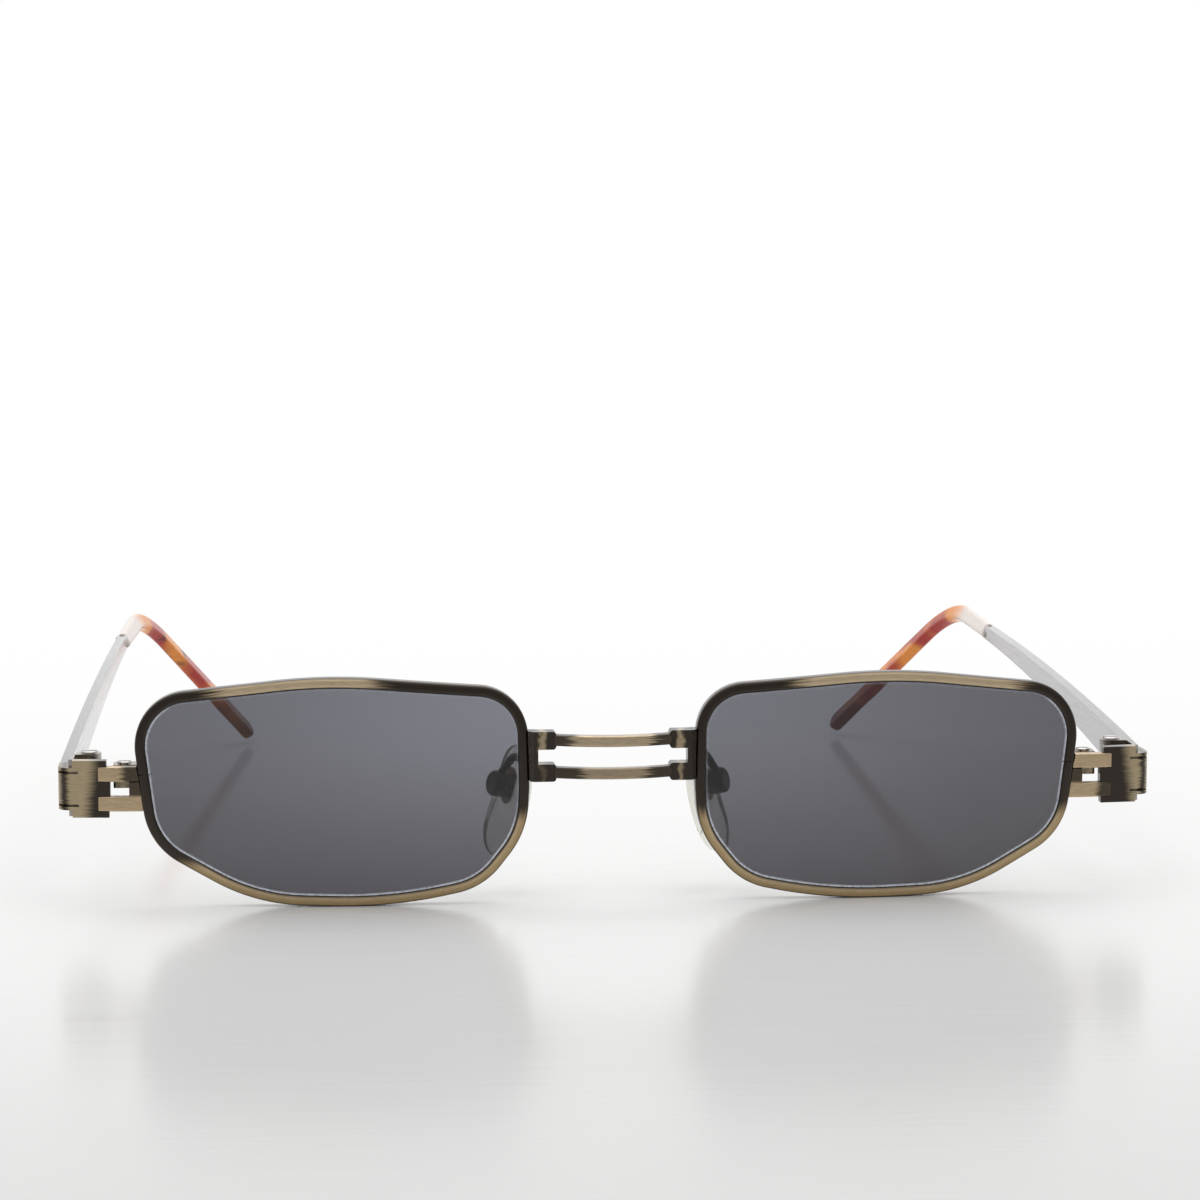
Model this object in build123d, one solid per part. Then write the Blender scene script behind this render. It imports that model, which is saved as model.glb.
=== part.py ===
from build123d import *
import math
import os

# Narrow rectangle sunglasses in metal, standing open on a table. Sizes are in millimetres.
# X runs across the front, Y from the front to the tips of the temples, Z up.
# Left and right are the wearer's, so the left side has positive X. It is drawn, and the right side mirrors it.

# Front
rim_gap = 20.4
rim_width = 48.0
rim_height = 28.0
rim_face = 1.25
rim_depth = 2.0
rim_edge_radius = 0.30
front_radius = 130.0
lens_centre_share = 0.37
braze_gap = 0.03
cut_overrun = 1.0

# Corners of the rim: share of its width from the nose, share of its height, and how much of the shorter side
# beside the corner its rounding takes up. The roundings of two neighbours take up less than the side between them
rim_corner_shares = (
    (0.005, 0.943, 0.473),
    (0.512, 1.015, 0.272),
    (1.015, 0.914, 0.379),
    (0.966, 0.267, 0.284),
    (0.696, 0.011, 0.385),
    (0.353, -0.006, 0.595),
    (0.117, 0.072, 0.385),
    (0.006, 0.313, 0.605),
    (-0.001, 0.514, 0.108),
)

# Groove in the rim, and the lens that sits in it
groove_depth = 0.45
groove_width = 0.70
front_lip = 0.60
lens_thickness = 1.60
lens_set_back = 0.25
lens_clearance = 0.05

# Split of the rim, and the lock that closes it round the lens
rim_split_rise = 1.7
rim_split_gap = 0.12
lock_height = 2.85
lock_width = 2.6
lock_depth = 2.7
lock_foot = 1.0
lock_edge_radius = 0.35
lock_screw_radius = 0.60
lock_head_radius = 0.85
lock_head_height = 0.30
lock_screw_length = 2.6
screw_slot_width = 0.30
screw_slot_depth = 0.22
screw_clearance = 0.05

# End pieces: two arms from the rim to a corner block that turns back to the hinge
end_piece_height = 14.4
arm_reach = 2.9
arm_span = 5.5
arm_height = 1.85
arm_thickness = 1.30
arm_edge_radius = 0.20
arm_bite = 1.35
arm_sag = 0.12
arm_root_width = 0.6
arm_release = 0.10
block_height = 7.0
block_width = 4.6
block_thickness = 1.30
block_sweep_back = 0.60
block_step_back = 0.33
upper_leg_set_back = 0.45
lower_leg_set_back = 0.15
wrap_height = 5.2
wrap_reach = 1.8
wrap_radius = 1.7
relief_slit_height = 0.30
relief_slit_inset = 0.42
relief_slit_run = 0.75
side_window_height = 1.20
side_window_length = 0.60
side_window_spacing = 2.50
side_window_y = 7.3

# Hinge
hinge_inset = 3.5
hinge_y = 10.6
hinge_height = 7.0
hinge_leaf_height = 4.8
knuckle_radius = 1.50
knuckle_gap = 0.06
leaf_length = 5.2
leaf_clearance = 0.10
mitre_angle = 25.0
mitre_gap = 0.12
hinge_screw_radius = 0.65
hinge_head_radius = 1.05
hinge_head_height = 0.25

# Temples
temple_height = 5.2
temple_mid_height = 3.2
temple_end_height = 1.9
temple_thickness = 1.30
temple_arch = 1.0
temple_run_back = 82.0
temple_rise = 6.8
temple_run_in = 2.6
core_radius = 0.55
core_share = 0.78
core_clearance = 0.05

# Tip sleeves: straight on from the temple, then round the ear bend and down to the table
bend_run_back = 19.4
bend_run_in = 1.6
bend_rise = 1.6
bend_radius = 14.0
tip_run_back = 19.4
tip_run_in = 16.0
tip_end_z = 1.35
sleeve_height = 2.2
sleeve_bend_height = 2.6
sleeve_end_height = 3.3
sleeve_thickness = 1.75
sleeve_edge_radius = 0.60
sleeve_end_share = 0.46

# Bridge: two bowed bars, each end in a socket of a bracket on the rim
bracket_bottom = 15.15
bracket_top = 21.30
bracket_reach = 6.95
bracket_web = 1.06
bracket_depth = 2.20
bracket_forward = 1.15
bracket_edge_radius = 0.40
upper_socket_height = 2.20
lower_socket_height = 2.15
bar_height = 1.35
bar_depth = 1.60
bar_edge_radius = 0.25
bar_bow = 1.50
bar_bite = 1.20

# Nose pads
pad_x = 12.9
pad_y = 8.2
pad_z = 11.7
pad_length = 14.0
pad_width = 7.0
pad_thickness = 2.0
pad_head_share = 0.40
pad_turn = 64.0
pad_splay = 14.0
pad_dome_radius = 20.0
pad_gap = 0.45
insert_length = 4.6
insert_width = 2.6
insert_thickness = 0.45
post_width = 1.0
post_height = 1.7
post_length = 1.9
box_radius = 1.60
box_depth = 2.1
box_edge_radius = 0.50
box_wall = 0.45
pad_screw_radius = 0.35
pad_screw_head_radius = 0.65
pad_screw_head_height = 0.35
pad_box_raise = 1.9
pad_wire_radius = 0.50
pad_wire_foot_bend = 0.75
pad_wire_arch_bend = 1.20
pad_wire_back = 1.3
pad_wire_foot_z = 13.6
pad_wire_top_z = 17.5
pad_wire_arch_share = 0.45

# Worked out from the sizes above
rim_nose_x = rim_gap / 2
block_inner_x = rim_nose_x + rim_width + arm_reach
half_width = block_inner_x + block_width + wrap_reach
lens_centre_x = rim_nose_x + lens_centre_share * rim_width
lens_centre_z = rim_height / 2
hinge_x = half_width - hinge_inset
rim_split_height = end_piece_height + rim_split_rise


def front_y(x, z):
    """How far back the curved front lies at this place."""
    across = (x - lens_centre_x) ** 2 + (z - lens_centre_z) ** 2
    return front_radius - math.sqrt(front_radius**2 - across)


block_front_y = front_y(rim_nose_x + rim_width, end_piece_height) + block_step_back


def slab(x, y, z):
    """A block from its lowest and highest place along each axis."""
    return Pos(sum(x) / 2, sum(y) / 2, sum(z) / 2) * Box(x[1] - x[0], y[1] - y[0], z[1] - z[0])


def rim_outline(inset):
    """The rim's outer edge as a flat face in the XZ plane, moved inwards by inset."""
    corners = [Vector(rim_nose_x + w * rim_width, h * rim_height) for w, h, taken in rim_corner_shares]
    radii = []
    for place, (w, h, taken) in enumerate(rim_corner_shares):
        before = corners[place - 1] - corners[place]
        after = corners[(place + 1) % len(corners)] - corners[place]
        half_corner = math.radians(before.get_angle(after)) / 2
        radii.append(taken * min(before.length, after.length) * math.tan(half_corner))
    edge = Plane.XZ * FilletPolyline(*corners, radius=radii, close=True)
    face = make_face(edge)
    return offset(face, amount=-inset) if inset else face


def rim_prism(inset):
    return extrude(rim_outline(inset), amount=front_radius / 4, both=True)


def front_ball(depth):
    """A ball whose near side is the front's curve, moved back by depth."""
    return Pos(lens_centre_x, front_radius, lens_centre_z) * Sphere(front_radius - depth)


def curved_layer(inset, near, far):
    """What lies inside the rim's edge moved in by inset, between two depths behind the front."""
    return (rim_prism(inset) & front_ball(near)) - front_ball(far)


def rim():
    ring = curved_layer(0, 0, rim_depth) - rim_prism(rim_face)
    front_face = ring.faces().filter_by(GeomType.SPHERE).sort_by(Axis.Y)[0]
    ring = fillet(front_face.edges(), rim_edge_radius)
    groove = curved_layer(rim_face - groove_depth, front_lip, front_lip + groove_width)
    split_y = front_y(rim_nose_x + rim_width, rim_split_height)
    split = slab(
        (lens_centre_x + rim_width / 4, half_width),
        (-cut_overrun, split_y + rim_depth + cut_overrun),
        (rim_split_height - rim_split_gap / 2, rim_split_height + rim_split_gap / 2),
    )
    return ring - groove - split


def lens():
    body = curved_layer(rim_face + lens_clearance, lens_set_back, lens_set_back + lens_thickness)
    tongue = curved_layer(
        rim_face - groove_depth + lens_clearance,
        front_lip + lens_clearance,
        front_lip + groove_width - lens_clearance,
    )
    return body + tongue


def beside_rim(piece):
    """The part of a piece that is clear of the rim by the thickness of the braze."""
    return piece - rim_keep_out()


def rim_keep_out():
    return (rim_prism(-braze_gap) & front_ball(-cut_overrun)) - front_ball(rim_depth + braze_gap)


def screw(radius, length, head_radius, head_height):
    """A slotted screw along Z, with the underside of its head at zero."""
    shank = Pos(0, 0, -length / 2) * Cylinder(radius, length)
    head = Pos(0, 0, head_height / 2) * Cylinder(head_radius, head_height)
    head = chamfer(head.edges().group_by(Axis.Z)[-1], head_height / 3)
    slot = Pos(0, 0, head_height) * Box(2 * head_radius + cut_overrun, screw_slot_width, 2 * screw_slot_depth)
    return shank + head - slot


lock_x = rim_nose_x + rim_width + lock_width / 2
lock_top = end_piece_height + arm_span / 2
lock_near_y = block_front_y + arm_thickness + arm_sag + braze_gap
lock_screw_y = lock_near_y + lock_depth / 2


def rim_lock(upper):
    """One half of the block that closes the rim, brazed to the rim's end above or below the split."""
    plan = Rectangle(lock_width + lock_foot, lock_depth)
    plan = fillet(plan.vertices(), lock_edge_radius)
    low = rim_split_height + rim_split_gap / 2 if upper else lock_top - lock_height
    high = lock_top if upper else rim_split_height - rim_split_gap / 2
    block = Pos(lock_x - lock_foot / 2, lock_screw_y, low) * extrude(plan, amount=high - low)
    hole_radius = lock_screw_radius + screw_clearance
    hole = Pos(lock_x, lock_screw_y, (low + high) / 2) * Cylinder(hole_radius, lock_height)
    return beside_rim(block) - hole


def rim_lock_screw():
    made = screw(lock_screw_radius, lock_screw_length, lock_head_radius, lock_head_height)
    return Pos(lock_x, lock_screw_y, lock_top) * made


def bar_along(path, depth, height, edge_radius):
    """A flat bar with soft edges along a path that lies level."""
    start = Plane(origin=path @ 0, x_dir=(0, 0, 1), z_dir=path % 0)
    return sweep(start * RectangleRounded(height, depth, edge_radius), path=path)


def end_arm(upper, grow=0.0):
    """One of the two arms of the end piece. It follows the front's curve into a notch of the corner block."""
    level = end_piece_height + (arm_span - arm_height) / 2 * (1 if upper else -1)
    near = Vector(rim_nose_x + rim_width - rim_face, front_y(rim_nose_x + rim_width, level) + arm_thickness / 2, level)
    far = Vector(block_inner_x + arm_bite + grow, block_front_y + arm_thickness / 2 + arm_sag, level)
    middle = (near + far) / 2 - Vector(0, arm_sag, 0)
    path = ThreePointArc(near, middle, far)
    return bar_along(path, arm_thickness + 2 * grow, arm_height + 2 * grow, arm_edge_radius)


def upper_arm():
    """The upper arm. It crosses the split of the rim, so it is brazed below the split and stands clear above it."""
    above = slab((0, half_width), (-hinge_y, hinge_y), (rim_split_height, rim_height))
    return beside_rim(end_arm(True)) - (rim_prism(-arm_release) & above)


def lower_arm():
    """The lower arm, with an upright root beside the rim that reaches up to the upper arm."""
    rim_side_x = rim_nose_x + rim_width
    near_y = front_y(rim_side_x, end_piece_height)
    root = slab(
        (rim_side_x - rim_face, rim_side_x + arm_root_width),
        (near_y, near_y + arm_thickness),
        (end_piece_height - arm_span / 2 + arm_height / 2, end_piece_height + arm_span / 2 - arm_height - braze_gap),
    )
    return beside_rim(end_arm(False) + root)


def block_plan():
    """The corner block seen from above: a plate across the front that turns back along the side."""
    corner_y = block_front_y + block_sweep_back
    inner_y = corner_y + block_thickness
    points = [
        (block_inner_x, block_front_y),
        (half_width, corner_y),
        (half_width, hinge_y + hinge_inset),
        (half_width - block_thickness, hinge_y + hinge_inset),
        (half_width - block_thickness, inner_y),
        (block_inner_x, block_front_y + block_thickness),
    ]
    radii = [0, wrap_radius, 0, 0, wrap_radius - block_thickness, 0]
    return make_face(FilletPolyline(*points, radius=radii, close=True))


def mitre_half(behind):
    """All that lies on one side of the mitre between the corner block and the temple."""
    reach = 4 * half_width
    turned = Plane(origin=(hinge_x, hinge_y, end_piece_height)).rotated((0, 0, -mitre_angle))
    away = (reach / 2 + mitre_gap / 2) * (1 if behind else -1)
    return turned * Pos(0, away, 0) * Box(reach, reach, reach)


def wrap_keep():
    """Room for the block: full height across the front, lower where it turns back."""
    front = slab(
        (block_inner_x - cut_overrun, half_width - wrap_reach),
        (0, hinge_y),
        (end_piece_height - block_height / 2, end_piece_height + block_height / 2),
    )
    side = slab(
        (half_width - wrap_reach - cut_overrun, half_width + cut_overrun),
        (0, hinge_y + hinge_inset),
        (end_piece_height - wrap_height / 2, end_piece_height + wrap_height / 2),
    )
    return front + side


def corner_block():
    plate = Pos(0, 0, end_piece_height) * extrude(block_plan(), amount=block_height / 2, both=True)
    block = plate & wrap_keep()
    for side in (1, -1):
        level = end_piece_height + side * (wrap_height / 2 - relief_slit_inset - relief_slit_height / 2)
        block -= slab(
            (half_width - wrap_reach - relief_slit_run, half_width + cut_overrun),
            (0, block_front_y + block_sweep_back + wrap_radius),
            (level - relief_slit_height / 2, level + relief_slit_height / 2),
        )
        middle = end_piece_height + side * side_window_spacing / 2
        block -= slab(
            (half_width - block_thickness - cut_overrun, half_width + cut_overrun),
            (side_window_y - side_window_length / 2, side_window_y + side_window_length / 2),
            (middle - side_window_height / 2, middle + side_window_height / 2),
        )
        block -= end_arm(side > 0, braze_gap)
        arm_level = end_piece_height + side * (arm_span - arm_height) / 2
        leg_end = end_piece_height + side * block_height / 2
        set_back = upper_leg_set_back if side > 0 else lower_leg_set_back
        block -= slab(
            (block_inner_x - cut_overrun, block_inner_x + set_back),
            (0, hinge_y),
            (min(arm_level, leg_end), max(arm_level, leg_end)),
        )
    return block & mitre_half(behind=False)


def knuckle(level, height, web_y):
    """A hinge barrel with a web out to its leaf."""
    barrel = Pos(hinge_x, hinge_y, level) * Cylinder(knuckle_radius, height)
    web = slab(
        (hinge_x, half_width - block_thickness),
        (min(web_y, hinge_y), max(web_y, hinge_y)),
        (level - height / 2, level + height / 2),
    )
    return barrel, web


knuckle_height = (hinge_height - 2 * knuckle_gap) / 3
knuckle_step = knuckle_height + knuckle_gap
leaf_inner_x = hinge_x + knuckle_radius + leaf_clearance


def hinge_leaf(front):
    """The half of the hinge on the corner block, with two knuckles, or the one on the temple, with one."""
    steps = (-1, 1) if front else (0,)
    reach_y = hinge_y - leaf_length if front else hinge_y + leaf_length
    leaf_height = hinge_height if front else hinge_leaf_height
    leaf = slab(
        (leaf_inner_x, half_width - block_thickness),
        (min(reach_y, hinge_y - hinge_inset), max(reach_y, hinge_y)),
        (end_piece_height - leaf_height / 2, end_piece_height + leaf_height / 2),
    )
    barrels = []
    for step in steps:
        level = end_piece_height + step * knuckle_step
        web_y = hinge_y - knuckle_radius if front else hinge_y + knuckle_radius
        barrel, web = knuckle(level, knuckle_height, web_y)
        leaf += web
        barrels.append(barrel)
    leaf = leaf & mitre_half(behind=not front)
    for barrel in barrels:
        leaf += barrel
    bore = Pos(hinge_x, hinge_y, end_piece_height) * Cylinder(
        hinge_screw_radius + screw_clearance, hinge_height + cut_overrun
    )
    return leaf - bore


def hinge_leaf_front():
    return hinge_leaf(True) - corner_block()


def hinge_leaf_temple():
    return hinge_leaf(False) - temple_strip()


def hinge_screw():
    top = end_piece_height + hinge_height / 2
    made = screw(hinge_screw_radius, hinge_height, hinge_head_radius, hinge_head_height)
    return Pos(hinge_x, hinge_y, top) * made


mitre_reach = hinge_inset * math.tan(math.radians(mitre_angle))
temple_joint = Vector(
    half_width - temple_thickness / 2 - mitre_reach * temple_run_in / temple_run_back, hinge_y, end_piece_height
)
temple_end = temple_joint + Vector(-temple_run_in, temple_run_back, temple_rise)


def temple_plane():
    """Drawing plane of the temple's side: along the temple, and up it."""
    along = (temple_end - temple_joint).normalized()
    outward = along.cross(Vector(0, 0, 1)).normalized()
    return Plane(origin=temple_joint, x_dir=along, z_dir=outward)


def temple_strip():
    """The flat strip of the temple, which narrows in a long curve to the tip."""
    length = (temple_end - temple_joint).length
    with BuildSketch(temple_plane()) as side:
        with BuildLine():
            top = (length / 2, temple_arch + temple_mid_height / 2)
            bottom = (length / 2, temple_arch - temple_mid_height / 2)
            ThreePointArc((0, temple_height / 2), top, (length, temple_end_height / 2))
            Line((length, temple_end_height / 2), (length, -temple_end_height / 2))
            ThreePointArc((length, -temple_end_height / 2), bottom, (0, -temple_height / 2))
            Polyline(
                (0, -temple_height / 2),
                (-hinge_inset, -temple_height / 2),
                (-hinge_inset, temple_height / 2),
                (0, temple_height / 2),
            )
        make_face()
    return extrude(side.sketch, amount=temple_thickness / 2, both=True) & mitre_half(behind=True)


bend_corner = temple_end + Vector(-bend_run_in, bend_run_back, bend_rise)
tip_end = Vector(bend_corner.X - tip_run_in, bend_corner.Y + tip_run_back, tip_end_z)


def tip_path():
    """Middle line of the tip: on from the strip, round the ear bend and down to the table."""
    return FilletPolyline(temple_end, bend_corner, tip_end, radius=bend_radius)


def temple_core(grow=0.0):
    """The wire in which the temple ends, inside the tip sleeve."""
    path = tip_path().trim(0, core_share + grow / tip_path().length)
    start = Plane(origin=path @ 0, z_dir=path % 0)
    return sweep(start * Circle(core_radius + grow), path=path)


def temple():
    return temple_strip() + temple_core()


def temple_tip():
    """The sleeve: a flat bent bar that widens to a round end, with soft edges and a bore for the wire."""
    first, second = bend_corner - temple_end, tip_end - bend_corner
    side = Plane(origin=temple_end, x_dir=first, z_dir=first.cross(second))
    bend, end = side.to_local_coords(bend_corner), side.to_local_coords(tip_end)
    across_start, across_end = Vector(0, 1), (end - bend).normalized().rotate(Axis.Z, 90)
    across_bend = (across_start + across_end).normalized()
    across_bend /= across_bend.dot(across_start)
    points = [
        across_start * (-sleeve_height / 2),
        bend - across_bend * (sleeve_bend_height / 2),
        end - across_end * (sleeve_end_height / 2),
        end + across_end * (sleeve_end_height / 2),
        bend + across_bend * (sleeve_bend_height / 2),
        across_start * (sleeve_height / 2),
    ]
    end_radius = sleeve_end_share * sleeve_end_height
    outer, inner = bend_radius + sleeve_bend_height / 2, bend_radius - sleeve_bend_height / 2
    radii = [0, outer, end_radius, end_radius, inner, 0]
    if across_end.X > 0:
        radii = [0, inner, end_radius, end_radius, outer, 0]
    outline = make_face(FilletPolyline(*points, radius=radii, close=True))
    bar = extrude(outline, amount=sleeve_thickness / 2, both=True)
    bar = fillet(bar.faces().filter_by(Axis.Z).edges(), sleeve_edge_radius)
    return side * bar - temple_core(core_clearance) - temple_strip()


def bridge_bar(upper, grow=0.0):
    """A flat bar across the nose, bowed forwards."""
    level = bracket_top - upper_socket_height / 2 if upper else bracket_bottom + lower_socket_height / 2
    end_x = bracket_reach + bar_bite + grow
    end_y = bracket_depth / 2 + bar_bow * (end_x / bracket_reach) ** 2 - bar_bow
    path = ThreePointArc(
        (-end_x, end_y, level),
        (0, bracket_depth / 2 - bar_bow, level),
        (end_x, end_y, level),
    )
    return bar_along(path, bar_depth + 2 * grow, bar_height + 2 * grow, bar_edge_radius)


def bridge_bracket():
    """The C-shaped bracket on the nose side of the rim, with a socket at the end of each of its arms."""
    rim_side = rim_nose_x + rim_face / 2
    near = front_y(rim_nose_x, bracket_top) - bracket_forward
    points = [
        (bracket_reach, near),
        (rim_nose_x - bracket_web / 2, near),
        (rim_side, near + bracket_forward),
        (rim_side, near + bracket_depth + bracket_forward / 2),
        (rim_nose_x - bracket_web, near + bracket_depth),
        (bracket_reach, near + bracket_depth),
    ]
    plan = make_face(Polyline(*points, close=True))
    body = Pos(0, 0, bracket_bottom) * extrude(plan, amount=bracket_top - bracket_bottom)
    body -= slab(
        (0, rim_nose_x - bracket_web),
        (near - cut_overrun, near + bracket_depth + cut_overrun),
        (bracket_bottom + lower_socket_height, bracket_top - upper_socket_height),
    )
    ends = body.edges().filter_by(Axis.Y).group_by(Axis.X)[0]
    body = fillet(ends, bracket_edge_radius)
    return beside_rim(body) - bridge_bar(True, braze_gap) - bridge_bar(False, braze_gap)


def pad_axes():
    """Upwards along the pad, which splays out at its foot, and out of it towards the side of the nose."""
    splay, turn = math.radians(pad_splay), math.radians(pad_turn)
    up = Vector(-math.sin(splay), 0, math.cos(splay))
    level = Vector(-math.sin(turn), math.cos(turn), 0)
    return up, (level - up * level.dot(up)).normalized()


pad_up, pad_normal = pad_axes()
pad_plane = Plane(origin=(pad_x, pad_y, pad_z), x_dir=pad_up.cross(pad_normal), z_dir=pad_normal)


def pad_outline(inset=0.0):
    """Drop shape of the pad: a large round foot and a smaller round top, joined by tangent sides."""
    foot = pad_width / 2
    head = pad_width * pad_head_share
    with BuildSketch() as drop:
        with Locations((0, -pad_length / 2 + foot)):
            Circle(foot)
        with Locations((0, pad_length / 2 - head)):
            Circle(head)
        make_hull()
    return offset(drop.sketch, amount=-inset) if inset else drop.sketch


def nose_pad():
    """A soft clear pad, domed towards the nose, flat behind, with a seat for the metal insert."""
    body = extrude(pad_outline(), amount=pad_thickness)
    dome = Pos(0, 0, pad_thickness - pad_dome_radius) * Sphere(pad_dome_radius)
    seat = Pos(0, pad_box_raise, 0) * extrude(insert_plan(braze_gap), amount=insert_thickness + braze_gap, both=True)
    return pad_plane * ((body & dome) - seat)


def insert_plan(grow=0.0):
    return SlotOverall(insert_length + 2 * grow, insert_width + 2 * grow, rotation=90)


def pad_insert():
    """Metal plate in the back of the pad, with the post that the pad box holds."""
    plate = Pos(0, pad_box_raise, 0) * extrude(insert_plan(), amount=insert_thickness)
    post = Pos(0, pad_box_raise, -post_length / 2) * Box(post_width, post_height, post_length)
    post = fillet(post.edges().filter_by(Axis.X), post_height / 3)
    hole = Pos(0, pad_box_raise, pad_screw_z) * Rot(0, 90, 0) * Cylinder(
        pad_screw_radius + screw_clearance, post_width + cut_overrun
    )
    return pad_plane * (plate + post - hole)


pad_screw_z = -pad_gap - box_depth / 3


def pad_cup():
    """The cup on the end of the pad arm before it is hollowed."""
    cup = Pos(0, pad_box_raise, -pad_gap - box_depth / 2) * Cylinder(box_radius, box_depth)
    return fillet(cup.edges().group_by(Axis.Z)[0], box_edge_radius)


def pad_box():
    """Round cup on the end of the pad arm, with the slot that takes the post."""
    room = Pos(0, pad_box_raise, -pad_gap - (box_depth - box_wall) / 2) * Box(
        post_width + 4 * screw_clearance, 2 * (box_radius - box_wall), box_depth - box_wall
    )
    hole = Pos(0, pad_box_raise, pad_screw_z) * Rot(0, 90, 0) * Cylinder(
        pad_screw_radius + screw_clearance, 2 * box_radius + cut_overrun
    )
    return pad_plane * (pad_cup() - room - hole)


def pad_screw():
    made = screw(pad_screw_radius, 2 * box_radius, pad_screw_head_radius, pad_screw_head_height)
    return pad_plane * Pos(box_radius, pad_box_raise, pad_screw_z) * Rot(0, 90, 0) * made


def pad_arm():
    """Bent wire from the back of the rim, up and over to the top of the pad box."""
    foot_x = rim_nose_x + rim_face / 2
    foot_y = front_y(foot_x, pad_wire_foot_z) + rim_depth + braze_gap
    seat = pad_plane * Pos(0, pad_box_raise + box_radius - box_wall / 2, -pad_gap - box_depth / 2)
    end = seat.position
    rise_y = foot_y + pad_wire_back
    fall_x = foot_x + pad_wire_arch_share * (end.X - foot_x)
    fall_y = rise_y + pad_wire_arch_share * (end.Y - rise_y)
    path = FilletPolyline(
        (foot_x, foot_y, pad_wire_foot_z),
        (foot_x, rise_y, pad_wire_foot_z),
        (foot_x, rise_y, pad_wire_top_z),
        (fall_x, fall_y, pad_wire_top_z),
        end,
        radius=[pad_wire_foot_bend, pad_wire_arch_bend, pad_wire_arch_bend],
    )
    start = Plane(origin=path @ 0, z_dir=path % 0)
    return sweep(start * Circle(pad_wire_radius), path=path) - pad_plane * pad_cup()


def left_pieces():
    """Every piece of the wearer's left side, by name."""
    return {
        "rim": rim(),
        "lens": lens(),
        "rim_lock_upper": rim_lock(True),
        "rim_lock_lower": rim_lock(False),
        "rim_lock_screw": rim_lock_screw(),
        "end_arm_upper": upper_arm(),
        "end_arm_lower": lower_arm(),
        "corner_block": corner_block(),
        "hinge_leaf_front": hinge_leaf_front(),
        "hinge_leaf_temple": hinge_leaf_temple(),
        "hinge_screw": hinge_screw(),
        "temple": temple(),
        "temple_tip": temple_tip(),
        "bridge_bracket": bridge_bracket(),
        "pad_arm": pad_arm(),
        "pad_box": pad_box(),
        "pad_screw": pad_screw(),
        "pad_insert": pad_insert(),
        "nose_pad": nose_pad(),
    }


pieces = {"bridge_bar_upper": bridge_bar(True), "bridge_bar_lower": bridge_bar(False)}
for name, piece in left_pieces().items():
    pieces[name + "_left"] = piece
    pieces[name + "_right"] = mirror(piece, about=Plane.YZ)

# The origin goes to the middle of the space that the sunglasses take up, at the height of the table
room = Compound(children=[Compound(piece.solids()) for piece in pieces.values()]).bounding_box()
to_origin = Pos(0, -(room.min.Y + room.max.Y) / 2, -room.min.Z)

os.makedirs("parts", exist_ok=True)
for name, piece in pieces.items():
    export_step(to_origin * piece, "parts/" + name + ".step")
print("moved to the origin by", to_origin.position)
print("left hinge axis at", (to_origin * Pos(hinge_x, hinge_y, end_piece_height)).position)
print("left pad screw axis at", (pad_plane * Pos(0, pad_box_raise, pad_screw_z)).position + to_origin.position)
print("left pad screw axis along", pad_plane.x_dir)
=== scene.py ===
import bpy
import math
from mathutils import Matrix, Vector


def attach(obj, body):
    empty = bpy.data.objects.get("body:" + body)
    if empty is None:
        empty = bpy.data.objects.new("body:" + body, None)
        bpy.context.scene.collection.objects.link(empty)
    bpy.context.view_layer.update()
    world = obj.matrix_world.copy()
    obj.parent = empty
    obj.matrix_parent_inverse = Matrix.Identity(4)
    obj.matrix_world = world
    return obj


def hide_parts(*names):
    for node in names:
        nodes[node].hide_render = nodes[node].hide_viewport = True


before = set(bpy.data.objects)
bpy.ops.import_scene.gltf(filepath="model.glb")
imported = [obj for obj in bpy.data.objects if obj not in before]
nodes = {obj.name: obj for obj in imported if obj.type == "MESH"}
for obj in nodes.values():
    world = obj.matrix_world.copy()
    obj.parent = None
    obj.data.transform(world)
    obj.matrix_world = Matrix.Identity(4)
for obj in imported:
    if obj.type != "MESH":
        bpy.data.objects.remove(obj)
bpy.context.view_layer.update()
scene = bpy.context.scene


# Table. One pale satin sheet that runs far back behind the sunglasses, rolled in fine lines from side to side.
# It keeps their shadow and a soft mirror image of the lenses, and fades to the white of the room behind.
white = (1, 1, 1, 1)
table_reach = 3.0
table_colour, table_near_colour, table_near_y = (0.75, 0.75, 0.745, 1), (0.60, 0.60, 0.595, 1), (-0.20, -0.05)
satin_y, satin_rough = (-0.075, -0.010), (0.19, 0.09)
rolled_waves, rolled_detail, rolled_range = (40, 900, 40), 4.0, (0.2, 0.8)
rolled_rough, rolled_strength, rolled_depth = (-0.03, 0.03), 0.04, 0.0004
white_y, white_distance = (-0.06, 0.22), (0.30, 0.70)
front_glow, glow_turn = 0.42, (-0.45, 0.25)


def new_material(name):
    """A material with its tree and its surface node."""
    material = bpy.data.materials.new(name)
    material.use_nodes = True
    return material, material.node_tree, material.node_tree.nodes["Principled BSDF"]


def feed(tree, socket, value):
    """Put a number, a colour or another node's output into a socket."""
    if isinstance(value, bpy.types.NodeSocket):
        tree.links.new(value, socket)
    else:
        socket.default_value = value


def give_looks(tree, node, looks):
    """Put each value into the node's socket of that name."""
    for socket, value in looks.items():
        feed(tree, node.inputs[socket], value)


def reckon(tree, operation, first, *others):
    """What a Math node makes of its values, taken one after the other where there are more than two."""
    for other in others or (None,):
        node = tree.nodes.new("ShaderNodeMath")
        node.operation = operation
        feed(tree, node.inputs[0], first)
        if other is not None:
            feed(tree, node.inputs[1], other)
        first = node.outputs[0]
    return first


def square_sum(tree, *values):
    """The squares of the values, added up."""
    return reckon(tree, "ADD", *(reckon(tree, "MULTIPLY", value, value) for value in values))


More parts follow.
